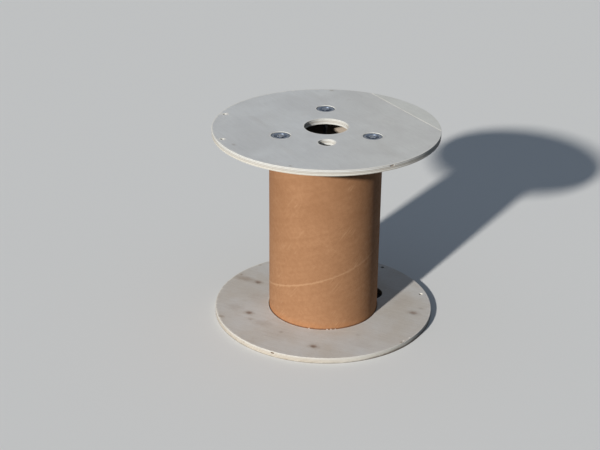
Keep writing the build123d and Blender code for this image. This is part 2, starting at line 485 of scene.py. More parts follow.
def sawn_plies(name, grain, tones, cream, painted_hole_shades, is_foot):
    """The board where it is cut: five plies whose fibres run along the grain and across it in
    turn, thin dark glue lines, end grain that is darker than long grain, brown wood in the gaps
    and cutter marks. Tones are the long grain, the end grain and the middle ply. Cream holds the
    depths between which the wood turns creamier. The next list holds patches of painted shade,
    dark on the walls of holes that lie in shade, as X, Y, size and strength."""
    material, wires, shader, place, facing = new_material(name)
    long_wood, end_wood, core_wood = (srgb(*tone) for tone in tones)
    glue, raw_wood, gap_brown = srgb(126, 106, 86), srgb(214, 213, 206), srgb(124, 100, 80)
    scorched, painted_shade_dark, cream_tint = srgb(150, 120, 92), srgb(52, 40, 32), (1.0, 0.965, 0.91, 1)

    waver = wires.less(wires.noise(place, 55, 2, 0.5), 0.5)
    depth = wires.math("MULTIPLY_ADD", waver, 0.35 * MM, stored(wires, "ply_depth"))
    from_face = wires.math("DIVIDE", wires.less(depth, FACE_PLY), CORE_PLY)
    ply = wires.math("FLOOR", wires.plus(from_face, 1.0))
    is_crosswise = wires.math("MODULO", ply, 2.0)
    in_ply = wires.math("FRACT", wires.plus(from_face, 1.0))
    to_glue = wires.times(wires.math("PINGPONG", in_ply, 0.5), CORE_PLY)
    is_inner_glue = wires.fade(wires.unsigned(wires.less(from_face, 1.5)), 1.25, 0.75)
    is_middle = wires.fade(wires.unsigned(wires.less(ply, 2.0)), 0.6, 0.4)

    lengthwise = wires.group(wood_fibre, Vector=place, Angle=grain)
    crosswise = wires.group(wood_fibre, Vector=place, Angle=grain + pi / 2)
    streaks = wires.between(is_crosswise, lengthwise["Streaks"], crosswise["Streaks"])
    pores = wires.between(is_crosswise, lengthwise["Pores"], crosswise["Pores"])

    normal = wires.node("TexCoord", {}).outputs["Normal"]
    along, across = (wires.unsigned(wires.vector_math("DOT_PRODUCT", normal, way))
                     for way in ((cos(grain), sin(grain), 0), (-sin(grain), cos(grain), 0)))
    end_on = wires.fade(wires.between(is_crosswise, along, across), 0.25, 0.95)

    colour = wires.tint(long_wood, end_on, 0.75, end_wood)
    colour = wires.tint(colour, is_middle, 0.85, core_wood)
    clouds = wires.fade(wires.noise(place, 30, 3, 0.6), 0.3, 0.7)
    colour = wires.tint(colour, clouds, 0.3, end_wood)
    colour = wires.tint(colour, streaks, 0.13, end_wood, "MULTIPLY")
    from_axis = wires.from_axis(place)
    creamy = wires.fade(depth, cream[0] * MM, cream[1] * MM)
    outside_barrel = wires.fade(from_axis, 110 * MM, 150 * MM)
    colour = wires.tint(colour, creamy, outside_barrel, cream_tint, "MULTIPLY")
    colour = wires.tint(colour, pores, wires.fade(end_on, 0, 1, 0.25, 0.7), glue, "MULTIPLY")
    glue_width = wires.fade(is_inner_glue, 0, 1, 0.22 * MM, 0.46 * MM)
    glue_line = wires.fade(to_glue, glue_width, 0.07 * MM)
    glue_break = wires.fade(wires.noise(place, 60, 2, 0.6), 0.3, 0.6, 0.6, 0.85)
    colour = wires.tint(colour, glue_line, glue_break, glue)
    scorch = wires.fade(wires.noise(wires.scaled(place, 60, 60, 8), 1.0, 2, 0.5), 0.6, 0.82)
    colour = wires.tint(colour, scorch, 0.24, scorched)
    rubbed = rubbed_mask(wires, place, "corner_distance", 0.9 * MM)
    colour = wires.tint(colour, rubbed, 0.85, raw_wood)
    if is_foot:
        colour = foot_painted_light_and_soil(wires, colour, place, depth, from_axis)
    colour = wires.blend(dust_mask(wires, place, facing, 0.8), colour, raw_wood)
    in_gap = wires.fade(stored(wires, "cut_depth"), 0.5 * MM, 1.6 * MM, 0.0, 0.85)
    colour = wires.blend(in_gap, colour, gap_brown)
    # Painted shade: dark patches on the walls of holes that lie in shade
    for x, y, size, strength in painted_hole_shades:
        patch = patch_mask(wires, place, (x, y, LOWER_FACE / 2), grain, size, size, 0.3, 8)
        colour = wires.tint(colour, patch, strength, painted_shade_dark)
    wires.feed(shader.inputs["Base Color"], colour)

    wires.feed(shader.inputs["Roughness"], wires.fade(end_on, 0, 1, 0.68, 0.85))
    shader.inputs["Specular IOR Level"].default_value = 0.12
    cutter = wires.noise(wires.scaled(place, 900, 900, 45), 1.0, 2, 0.6)
    height = wires.math("MULTIPLY_ADD", cutter, 0.35, wires.times(streaks, 0.4))
    height = wires.less(height, wires.times(pores, 0.9))
    height = wires.less(height, wires.times(glue_line, 0.5))
    wires.feed(shader.inputs["Normal"], wires.bump(height, 0.14 * MM))
    return material


# The seam of the tube's paper gapes below the first height and is shut above the second
OPEN_SEAM_HEIGHT = 95 * MM
SHUT_SEAM_HEIGHT = 175 * MM


def kraft_paper(name, colours, edge_fuzz, is_tinted_at_boards):
    """Brown paper of a spiral wound tube. The UV map runs along the strip and across it, in
    metres: fibres and rollers' lines follow the strip, and the strip's two edges are paler, by
    the share edge_fuzz where the seam is open. Darker clouds grow stronger upwards, a painted
    shade under the top board. Paper tinted at the boards has a painted orange bounce light near
    both boards and a dark brown line along each."""
    material, wires, shader, place, facing = new_material(name)
    light, deep, fuzz = (srgb(*colour) for colour in colours)
    shive_brown, painted_bounce_orange, board_line_brown = srgb(104, 70, 44), srgb(178, 112, 62), srgb(104, 70, 50)
    strip = wires.node("UVMap", {}, uv_map="winding").outputs["UV"]

    formation = wires.fade(wires.noise(place, 150, 4, 0.62), 0.28, 0.74)
    clouds = wires.fade(wires.noise(place, 15, 3, 0.55, 0.4), 0.3, 0.7)
    machine = wires.fade(wires.noise(wires.scaled(strip, 3, 110, 1), 1.0, 3, 0.6), 0.3, 0.7)
    fibres = wires.fade(wires.noise(wires.scaled(strip, 520, 2600, 1), 1.0, 3, 0.65, 1.2), 0.35, 0.68)
    shives = wires.fade(wires.cells(wires.scaled(strip, 170, 620, 1), 1.0), 0.09, 0.03)
    slanting = wires.scaled(wires.turned(strip, 0.9), 130, 560, 1)
    pale_hairs = wires.fade(wires.cells(slanting, 1.0), 0.1, 0.03)
    rise = wires.part(place, "Z")
    # Darker clouds grow stronger upwards: the clouds are the paper's own, and their rise towards the
    # top is painted shade under the top board
    clouds_and_painted_shade = wires.fade(rise, 60 * MM, 290 * MM, 0.2, 0.62)
    colour = wires.tint(light, clouds, clouds_and_painted_shade, deep)
    colour = wires.tint(colour, formation, 0.45, deep)
    colour = wires.tint(colour, machine, 0.3, deep)
    colour = wires.tint(colour, fibres, 0.22, deep, "MULTIPLY")
    colour = wires.tint(colour, shives, 0.55, shive_brown)
    colour = wires.tint(colour, pale_hairs, 0.35, fuzz)
    scuffs = wires.group(hairlines, Vector=strip, Angle=0.6, Fineness=0.8)["Mask"]
    colour = wires.tint(colour, scuffs, 0.35, fuzz)
    torn_edge = rubbed_mask(wires, place, "strip_edge", 3.6 * MM)
    open_seam = wires.fade(rise, SHUT_SEAM_HEIGHT, OPEN_SEAM_HEIGHT, 0.06, edge_fuzz)
    colour = wires.tint(colour, torn_edge, open_seam, fuzz)
    if is_tinted_at_boards:
        # Near both boards: a painted bounce light, orange as if thrown back from the wood, and a dark
        # brown line along each board
        from_board = wires.math("MINIMUM", wires.less(rise, BOARD), wires.less(HEIGHT - BOARD, rise))
        painted_bounce = wires.fade(from_board, 17 * MM, 3 * MM)
        colour = wires.tint(colour, painted_bounce, wires.fade(clouds, 0, 1, 0.2, 0.04), painted_bounce_orange)
        board_line_height = wires.fade(wires.noise(place, 95, 3, 0.6), 0.3, 0.7, 1.6 * MM, 3.2 * MM)
        board_line = wires.fade(from_board, board_line_height, 0.3 * MM)
        colour = wires.tint(colour, board_line, 0.8, board_line_brown)
    colour = wires.blend(dust_mask(wires, place, facing, 0.4), colour, fuzz)
    wires.feed(shader.inputs["Base Color"], colour)

    wires.feed(shader.inputs["Roughness"], wires.fade(formation, 0, 1, 0.62, 0.78))
    shader.inputs["Specular IOR Level"].default_value = 0.1
    height = wires.math("MULTIPLY_ADD", fibres, 0.5, wires.times(formation, 0.7))
    height = wires.math("MULTIPLY_ADD", machine, 0.35, height)
    height = wires.math("MULTIPLY_ADD", pale_hairs, 0.6, height)
    wires.feed(shader.inputs["Normal"], wires.bump(height, 0.06 * MM))
    return material


def zinc_plate(name, turning):
    """Bluish bright zinc on steel: a mottled bright metal with a dull bloom, rubbed corners and
    dirt. Turning is how strongly lines run round the piece's own upright axis."""
    material, wires, shader, place, facing = new_material(name)
    zinc, shade = srgb(132, 144, 162), srgb(84, 95, 114)
    bare, dirt = srgb(172, 178, 186), srgb(186, 178, 164)
    patches = wires.fade(wires.noise(place, 260, 3, 0.6), 0.3, 0.7)
    bloom = wires.fade(wires.noise(place, 90, 4, 0.65), 0.48, 0.74)
    colour = wires.tint(zinc, patches, 0.6, shade)
    rubbed = rubbed_mask(wires, place, "corner_distance", 0.5 * MM)
    colour = wires.tint(colour, rubbed, 0.8, bare)
    dust = dust_mask(wires, place, facing, 0.55)
    wires.feed(shader.inputs["Base Color"], wires.blend(dust, colour, dirt))
    wires.feed(shader.inputs["Metallic"], wires.less(1.0, dust))
    rough = wires.math("MULTIPLY_ADD", bloom, 0.2, 0.3)
    wires.feed(shader.inputs["Roughness"], wires.math("MULTIPLY_ADD", dust, 0.5, rough))
    lines = wires.noise(wires.scaled(place, 160, 160, turning), 1.0, 2, 0.5)
    height = wires.math("MULTIPLY_ADD", patches, 0.3, wires.times(lines, 0.7))
    wires.feed(shader.inputs["Normal"], wires.bump(height, 0.02 * MM))
    return material


upper_veneer = sheet_veneer(
    "upper_veneer", UPPER_FACE, UPPER_GRAIN, [(208, 209, 208), (196, 196, 195), (188, 174, 158)],
    upper_knots, upper_smears, upper_torn, True)
lower_veneer = sheet_veneer(
    "lower_veneer", LOWER_FACE, LOWER_GRAIN, [(201, 199, 196), (190, 182, 172), (174, 146, 118)],
    lower_knots, lower_smears, lower_torn, False)
upper_plies = sawn_plies(
    "upper_sawn_plies", UPPER_GRAIN, [(205, 206, 203), (197, 195, 188), (184, 181, 174)],
    (3.0, 9.5), [], False)
# The lower board's cut faces carry two patches of painted shade, in the cable hole and in a tie hole
lower_plies = sawn_plies(
    "lower_sawn_plies", LOWER_GRAIN, [(204, 200, 192), (195, 189, 179), (192, 186, 176)],
    (10.5, 2.5), [(83, 44, 66, 0.93), (180.6, 45.4, 4.4, 0.95)], True)
tube_paper = kraft_paper(
    "kraft_paper", [(164, 123, 90), (141, 101, 70), (194, 157, 122)], 0.34, True)
inner_paper = kraft_paper(
    "inner_grey_paper", [(165, 153, 140), (148, 136, 122), (190, 180, 168)], 0.3, True)
torn_paper = kraft_paper(
    "torn_paper", [(216, 198, 184), (196, 172, 156), (226, 214, 204)], 0.3, False)
turned_zinc = zinc_plate("turned_zinc", 1500)
stamped_zinc = zinc_plate("stamped_zinc", 160)


# Meshes from arrays
def new_object(name, data):
    """An object in the scene, at the origin."""
    made = bpy.data.objects.new(name, data)
    bpy.context.scene.collection.objects.link(made)
    return made


def new_piece(name, corners, faces, materials, face_material=None, numbers=None, uv=None,
              sharp_angle=35):
    """A mesh object at the origin. Faces is an array or a list of arrays of corner numbers,
    numbers maps a name to one value for each corner, and uv holds each face corner's place."""
    mesh = bpy.data.meshes.new(name)
    parts = faces if isinstance(faces, list) else [faces]
    mesh.from_pydata(corners.tolist(), [], [face for part in parts for face in part.tolist()])
    for material in materials:
        mesh.materials.append(material)
    if face_material is not None:
        mesh.polygons.foreach_set("material_index", face_material.astype(np.int32))
    for label, values in (numbers or {}).items():
        stored_values = mesh.attributes.new(label, "FLOAT", "POINT")
        stored_values.data.foreach_set("value", values.astype(np.float32))
    if uv is not None:
        layer = mesh.uv_layers.new(name="winding")
        layer.data.foreach_set("uv", uv.reshape(-1).astype(np.float32))
    mesh.shade_smooth()
    mesh.set_sharp_from_angle(angle=radians(sharp_angle))
    return new_object(name, mesh)


def set_in_frame(piece, slot, *nodes):
    """The piece rides on the drum and stands for CAD nodes. Its slot is not used."""
    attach(piece, "root")
    if nodes:
        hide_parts(*nodes)
    return piece


def waves(rng, count, lowest, highest):
    """Numbers of whole waves round a circle, with their phases and strengths, drawn at random."""
    turns = rng.integers(lowest, highest + 1, count)
    return turns, rng.uniform(0, 2 * pi, count), rng.uniform(0.4, 1.0, count)


def ripple(angle, drawn):
    """Sum of cosines round a circle, each with its own number of waves, scaled to about 1."""
    turns, phases, strengths = drawn
    total = (strengths * np.cos(np.multiply.outer(angle, turns) + phases)).sum(-1)
    return total / strengths.sum()


def even_angles(count, turned=0.0):
    """Angles of even steps once round, turned on by a share of a step."""
    return (np.arange(count) + turned) * 2 * pi / count


def grid_quads(numbers, is_ring=False):
    """Quads between each column of a grid of corner numbers and the next, and between each row
    and the next. In a ring the last column is joined to the first."""
    if is_ring:
        numbers = np.concatenate([numbers, numbers[:1]])
    return np.stack([numbers[:-1, :-1], numbers[1:, :-1], numbers[1:, 1:], numbers[:-1, 1:]], -1)


def ring(radius, count, centre=(0, 0), turned=0.0):
    """Spots on a circle: the centre plus the radius times the cosine and sine of even steps."""
    angle = even_angles(count, turned)
    return np.stack([centre[0] + radius * np.cos(angle), centre[1] + radius * np.sin(angle)], 1)


# Plywood flanges
def mount_circle(label, steps):
    """Circle of a hole that the record states as a mount."""
    hole = mounts[label]
    return tuple(hole["pos_m"][:2]), hole["dims"]["r_mm"] * MM, steps, "hole"


def board_circles(tie_holes, has_cable_hole, side):
    """Every circle of one flange as centre, radius, number of steps and kind."""
    circles = [((0.0, 0.0), FLANGE_RADIUS, 900, "rim"), mount_circle("arbor_hole_" + side, 160),
               mount_circle("drive_hole_" + side, 90)]
    circles += [mount_circle(label, 40) for label in tie_holes]
    for number in ROD_NUMBERS:
        centre = middle(f"tie_rod_{number}")
        circles += [(centre, ROD_HOLE_RADIUS, 40, "hole"), (centre, POCKET_RADIUS, 80, "pocket"),
                    (centre, SEAT_RADIUS, 100, "seat")]
    circles += [((0.0, 0.0), radius, 360, "groove") for radius in (GROOVE_OUTER, GROOVE_INNER)]
    if has_cable_hole:
        centre = (CABLE_HOLE_REACH * cos(CABLE_HOLE_ANGLE), CABLE_HOLE_REACH * sin(CABLE_HOLE_ANGLE))
        circles.append((centre, CABLE_HOLE_RADIUS, 140, "hole"))
    return circles


def gap_to_circle(spots, circle):
    """Distance of flat spots from a circle's line: positive outside it."""
    return np.hypot(spots[:, 0] - circle[0][0], spots[:, 1] - circle[0][1]) - circle[1]


def nearest_gap(spots, circles):
    """Distance of flat spots from the nearest circle's line."""
    return np.abs([gap_to_circle(spots, circle) for circle in circles]).min(0)


def board_plan(circles, knots, has_seam, rng):
    """Flat triangles of a flange. Their corners are the circles' own spots, guard rings a little
    inside and outside each circle, rows along the seam, close rings at each knot and an uneven
    six-sided net between them all."""
    outlines = [ring(radius, steps, centre) for centre, radius, steps, kind in circles]
    inside_rim = FLANGE_RADIUS - 0.2 * MM
    rows = []
    if has_seam:
        reach = np.linspace(-2 * MM, np.linalg.norm(SEAM_END - SEAM_START) + 2 * MM, 60)
        side = np.array([-SEAM_DIRECTION[1], SEAM_DIRECTION[0]])
        for offset in (-0.32, -0.14, 0.14, 0.32):
            row = SEAM_START + np.outer(reach, SEAM_DIRECTION) + offset * MM * side
            rows.append(row[np.hypot(*row.T) < inside_rim])
    loose = [np.empty((0, 2))]
    for centre, radius, steps, kind in circles:
        for offset, stride in ((0.25, 1), (0.8, 1), (2.4, 2)):
            for way in (-1, 1):
                guard = ring(radius + way * offset * MM, steps // stride, centre, 0.5)
                clear = nearest_gap(guard, circles) > 0.9 * offset * MM
                loose.append(guard[clear])
    knot_spots = [ring(reach * MM, int(6 * reach) + 3, (x * MM, y * MM))
                  for x, y, size, strength in knots for reach in (1, 2, 3, 4.5, 6.5)]
    pitch, half_columns, half_lines = 5 * MM, 41, 47
    columns, lines = np.meshgrid(np.arange(-half_columns, half_columns + 1),
                                 np.arange(-half_lines, half_lines + 1))
    net = np.stack([(columns + 0.5 * (lines % 2)) * pitch, lines * pitch * 0.866], -1).reshape(-1, 2)
    net = net + rng.uniform(-0.18, 0.18, net.shape) * pitch
    net = net[nearest_gap(net, circles) > 3.4 * MM]
    for x, y, size, strength in knots:
        net = net[np.hypot(net[:, 0] - x * MM, net[:, 1] - y * MM) > 8 * MM]
    loose = np.concatenate(loose + knot_spots + [net])
    loose = loose[np.hypot(*loose.T) < inside_rim]
    if has_seam:
        loose = loose[np.abs(past_seam(loose)) > 1.0 * MM]

    spots = np.concatenate(outlines + rows + [loose])
    edges = []
    start = 0
    for line in outlines + rows:
        numbers = np.arange(start, start + len(line))
        steps = np.stack([numbers, np.roll(numbers, -1)], 1)
        edges.append(steps if len(edges) < len(outlines) else steps[:-1])
        start += len(line)
    found = delaunay_2d_cdt([Vector(spot) for spot in spots.tolist()],
                            np.concatenate(edges).tolist(), [], 0, 1e-7)
    return np.array([tuple(spot) for spot in found[0]]), np.array(found[2])


def board_levels():
    """Depths below the outer face at which the cut faces have corners: close together at the two
    faces and at each glue line, with the floors of the recesses and of the groove."""
    near_faces = np.array([0, 0.15, 0.35, 0.6]) * MM
    depths = [*near_faces, *(BOARD - near_faces), SEAT_DEPTH, POCKET_DEPTH, BOARD - GROOVE_DEPTH]
    for line in GLUE_LINES:
        depths += [line - GLUE_HALF, line, line + GLUE_HALF]
    depths += [line + share * CORE_PLY for line in GLUE_LINES[:3] for share in (0.25, 0.5, 0.75)]
    depths = np.sort(np.array(depths))
    return depths[np.append(True, np.diff(depths) > 0.05 * MM)]


def filled_layers(spots, triangles, circles, levels):
    """Which layers of wood are there under each flat triangle: none in a hole, only those below
    the floor of a seat or pocket, and only those above the groove's floor in the groove."""
    centres = spots[triangles].mean(1)
    middles = (levels[1:] + levels[:-1]) / 2
    wood = np.ones((len(triangles), len(middles)), bool)
    inside = {kind: [gap_to_circle(centres, circle) < 0 for circle in circles if circle[3] == kind]
              for kind in ("rim", "hole", "seat", "pocket", "groove")}
    wood &= inside["rim"][0][:, None]
    wood &= ~np.any(inside["hole"], 0)[:, None]
    wood &= ~(np.any(inside["seat"], 0)[:, None] & (middles < SEAT_DEPTH))
    wood &= ~(np.any(inside["pocket"], 0)[:, None] & (middles < POCKET_DEPTH))
    in_groove = inside["groove"][0] & ~inside["groove"][1]
    wood &= ~(in_groove[:, None] & (middles > BOARD - GROOVE_DEPTH))
    return wood


def board_skin(triangles, wood, level_count):
    """Faces between wood and air, as flat triangles and upright quads of corner numbers. A
    corner's number is its flat spot times the number of levels plus its level."""
    edge_of_air = np.zeros((len(triangles), 1), bool)
    above = np.concatenate([edge_of_air, wood], 1)
    below = np.concatenate([wood, edge_of_air], 1)
    flats, flat_levels = [], []
    for is_outward, here in ((True, below & ~above), (False, above & ~below)):
        which, level = np.nonzero(here)
        corners = triangles[which] * level_count + level[:, None]
        flats.append(corners if is_outward else corners[:, ::-1])
        flat_levels.append(level)

    starts = triangles.reshape(-1)
    ends = np.roll(triangles, -1, 1).reshape(-1)
    owner = np.repeat(np.arange(len(triangles)), 3)
    key = np.minimum(starts, ends).astype(np.int64) * (starts.max() + 1) + np.maximum(starts, ends)
    order = np.argsort(key, kind="stable")
    same = key[order][1:] == key[order][:-1]
    other = np.full(len(key), -1)
    first, second = order[:-1][same], order[1:][same]
    other[first], other[second] = owner[second], owner[first]
    wood_or_air = np.concatenate([wood, np.zeros((1, wood.shape[1]), bool)])
    which, layer = np.nonzero(wood[owner] & ~wood_or_air[other])
    start, end = starts[which] * level_count, ends[which] * level_count
    uprights = np.stack([start + layer + 1, end + layer + 1, end + layer, start + layer], 1)
    return np.concatenate(flats), np.concatenate(flat_levels), uprights


def to_nearest_face(depth):
    return np.minimum(depth, BOARD - depth)


def ply_relief(depth):
    """How far each depth of a cut face lies back from its neighbours: glue lines stand out a
    little, and the softer crosswise plies are cut back more than the others."""
    from_face = (depth - FACE_PLY) / CORE_PLY
    ply = np.floor(from_face + 1)
    to_glue = np.abs(from_face - np.round(from_face)) * CORE_PLY
    back = np.where(ply % 2 == 1, 0.15 * MM, 0.05 * MM)
    return np.where(to_glue < GLUE_HALF * 1.5, 0.02 * MM, back)


def cut_back(angle, depth, drawn, chips, gaps):
    """How far a cut face lies back from its true circle at an angle and a depth: ply relief, the
    ripple of the cutter, chips at the two corners and gaps in a core ply. A chip or gap is its
    angle, half width, depth of the bite, and the two depths between which it lies."""
    back = ply_relief(depth) * (0.75 + 0.5 * ripple(angle, drawn[0]))
    back = back + 0.04 * MM * (1 + ripple(angle, drawn[1]))
    for place, half, bite, low, high in [*chips, *gaps]:
        aside = np.abs((angle - place + pi) % (2 * pi) - pi) / half
        within = (depth > low - FACE_SLACK) & (depth < high + FACE_SLACK)
        back = np.maximum(back, within * bite * np.clip(1.6 * (1 - aside ** 4), 0, 1))
    at_face = to_nearest_face(depth) < FACE_SLACK
    return np.where(at_face, np.minimum(back, 0.2 * MM), back)


def drawn_chips(rng, count, radius):
    """Small bites out of a circle's two corners, at random places."""
    places = rng.uniform(0, 2 * pi, count)
    halves = rng.uniform(0.8, 3.0, count) * MM / radius
    bites = rng.uniform(0.12, 0.45, count) * MM
    depths = rng.uniform(0.2, 1.0, count) * MM
    at_outer = rng.random(count) < 0.5
    lows = np.where(at_outer, 0, BOARD - depths)
    highs = np.where(at_outer, depths, BOARD)
    return list(zip(places, halves, bites, lows, highs))


def named_gaps(places, radius):
    """Short gaps in a core ply at named places. A place is an angle in degrees, a length, the
    number of the ply, where the outer face veneer is ply 0, and the depth of the bite."""
    gaps = []
    for degrees, length, ply, bite in places:
        low = FACE_PLY + (ply - 1) * CORE_PLY + GLUE_HALF
        gaps.append((radians(degrees) % (2 * pi), length * MM / 2 / radius, bite * MM, low,
                     low + CORE_PLY - 2 * GLUE_HALF))
    return gaps


def face_dip(spots, drawn, knots, has_seam):
    """How far a face lies below its true plane: slow waves over the board, a hollow at each knot
    with a low rise round it, and the gap of the veneer's seam."""
    directions, phases, strengths = drawn
    swell = (strengths * np.cos(spots @ directions.T + phases)).sum(-1) / strengths.sum()
    dip = 0.07 * MM * (1 + swell)
    for x, y, size, strength in knots:
        reach = np.hypot(spots[:, 0] - x * MM, spots[:, 1] - y * MM) / (size * MM)
        hollow = np.exp(-(reach / 0.55) ** 2) * 0.22 - np.exp(-((reach - 1.15) / 0.35) ** 2) * 0.06
        dip = dip + hollow * strength * MM
    if has_seam:
        aside = np.abs(past_seam(spots))
        dip = dip + 0.3 * MM * np.clip((0.32 * MM - aside) / (0.18 * MM), 0, 1)
    return np.maximum(dip, 0)


def rounded_rim(flat_spots, depth):
    """The rim's two corners are quarter rounds: a corner's place across the rim or down it gives
    its angle on the round. Gives what each spot is multiplied by, and its new depth."""
    reach = np.hypot(*flat_spots.T)
    across = np.clip((reach - (FLANGE_RADIUS - RIM_BREAK)) / RIM_BREAK, 0, 1)
    down = np.clip(to_nearest_face(depth) / RIM_BREAK, 0, 1)
    at_corner = (across > 0) & (down < 1)
    turn = np.where(down < 0.02, across * pi / 4, pi / 2 - (1 - down) * pi / 4)
    round_reach = FLANGE_RADIUS - RIM_BREAK * (1 - np.sin(turn))
    round_depth = RIM_BREAK * (1 - np.cos(turn))
    round_depth = np.where(depth < BOARD / 2, round_depth, BOARD - round_depth)
    return np.where(at_corner, round_reach / reach, 1.0), np.where(at_corner, round_depth, depth)


def plywood_flange(name, node, side, materials, knots, ply_gaps, has_seam, seed):
    """A flange as a stack of thin layers: its plan's triangles and its levels make prisms, the
    faces between wood and air are its skin, and every corner is then moved by the cut faces'
    relief, the rim's rounding and the dips of the two faces."""
    rng = np.random.default_rng(seed)
    is_top = side == "top"
    tie_holes = sorted(label for label in mounts if label.startswith("tie_hole_" + side))
    circles = board_circles(tie_holes, not is_top, side)
    plan, triangles = board_plan(circles, knots, has_seam, rng)
    levels = board_levels()
    wood = filled_layers(plan, triangles, circles, levels)
    flats, flat_levels, uprights = board_skin(triangles, wood, len(levels))

    used, numbered = np.unique(np.concatenate([flats.reshape(-1), uprights.reshape(-1)]),
                               return_inverse=True)
    flats = numbered[:flats.size].reshape(-1, 3)
    uprights = numbered[flats.size:].reshape(-1, 4)
    flat_spots = plan[used // len(levels)]
    level = used % len(levels)
    depth = levels[level]

    # The relief of each circle's cut face
    spots = flat_spots.copy()
    cut_depth = np.zeros(len(spots))
    for centre, radius, steps, kind in circles:
        drawn = (waves(rng, 9, 5, 60), waves(rng, 9, 20, 110))
        chip_count = 46 if kind == "rim" else max(3, int(radius / MM / 4))
        chips = drawn_chips(rng, chip_count, radius)
        gaps = named_gaps(ply_gaps, radius) if kind == "rim" else []
        on_circle = np.abs(gap_to_circle(flat_spots, (centre, radius))) < 0.03 * MM
        cut_from, cut_to = {"seat": (0, SEAT_DEPTH), "pocket": (SEAT_DEPTH, POCKET_DEPTH),
                            "groove": (BOARD - GROOVE_DEPTH, BOARD)}.get(kind, (0, BOARD))
        on_circle &= (depth > cut_from - FLOOR_SLACK) & (depth < cut_to + FLOOR_SLACK)
        out = flat_spots[on_circle] - centre
        angle = np.arctan2(out[:, 1], out[:, 0])
        scale = 1.0 if kind == "rim" else 0.6
        back = scale * cut_back(angle, depth[on_circle], drawn, chips, gaps)
        cut_depth[on_circle] = back
        is_narrow = kind != "rim" and radius < 6 * MM
        if kind != "rim":
            at_face = to_nearest_face(depth[on_circle]) < FACE_SLACK
            share, corner = (0.4, 0.05) if is_narrow else (1, 0.14)
            back = back * share + at_face * corner * MM * (1 + ripple(angle, drawn[1]))
        into_wood = -1 if kind == "rim" or radius == GROOVE_INNER else 1
        spots[on_circle] += out / np.hypot(*out.T)[:, None] * (into_wood * back)[:, None]

    inward, depth_now = rounded_rim(flat_spots, depth)
    spots = spots * inward[:, None]

    # The two faces' dips, shared out over the levels between them
    swells, radians_per_metre = 7, 26
    directions = rng.normal(0, radians_per_metre, (swells, 2))
    outer_drawn = (directions, rng.uniform(0, 2 * pi, swells), rng.uniform(0.4, 1, swells))
    inner_drawn = (directions[::-1], rng.uniform(0, 2 * pi, swells), rng.uniform(0.4, 1, swells))
    outer_dip = face_dip(flat_spots, outer_drawn, knots if is_top else [], has_seam)
    inner_dip = face_dip(flat_spots, inner_drawn, [] if is_top else knots, False)
    share = depth / BOARD
    depth_now = depth_now + outer_dip * (1 - share) - inner_dip * share

    z = HEIGHT - depth_now if is_top else depth_now
    if not is_top:
        flats, uprights = flats[:, ::-1], uprights[:, ::-1]
    at_outer = [circle for circle in circles if circle[3] not in ("groove", "pocket")]
    at_inner = [circle for circle in circles if circle[3] not in ("seat", "pocket")]
    on_face = np.where(depth < BOARD / 2, nearest_gap(flat_spots, at_outer),
                       nearest_gap(flat_spots, at_inner))
    to_face = to_nearest_face(depth)
    corner_distance = np.where(to_face < FACE_SLACK, on_face, to_face)
    at_faces = (flat_levels == 0) | (flat_levels == len(levels) - 1)
    face_material = np.concatenate([np.where(at_faces, 0, 1), np.ones(len(uprights))])
    piece = new_piece(name, np.column_stack([spots, z]), [flats, uprights], materials, face_material,
                      {"ply_depth": depth, "corner_distance": corner_distance,
                       "cut_depth": cut_depth, "seam_distance": past_seam(flat_spots)})
    return set_in_frame(piece, side + "_plywood", node)


# Paper tube
PAPER_LEAD = 209 * MM
SEAM_HEIGHT = 110.4 * MM
SEAM_ANGLE = radians(-85.6)
STRIP_SLOPE = PAPER_LEAD / (2 * pi)
WINDING_ANGLE = atan2(PAPER_LEAD, 2 * pi * TUBE_RADIUS)
QUAD_HALVES = np.array([[0, 1, 2], [0, 2, 3]])

# Torn flakes at the tube's foot as degrees round the tube, width, height above the board and lean
# outwards in millimetres
FOOT_BURRS = [(-103, 2.2, 2.0, 0.9), (-84.5, 3.0, 1.8, 1.0), (-80.5, 2.0, 2.3, 0.8),
              (-76, 2.6, 1.6, 1.0), (-20, 2.0, 1.8, 0.8), (64, 2.6, 2.0, 0.9), (151, 2.2, 2.4, 0.8)]


def to_seam(in_strip):
    """Upright distance from the nearer edge of the strip."""
    return np.minimum(in_strip, PAPER_LEAD - in_strip)


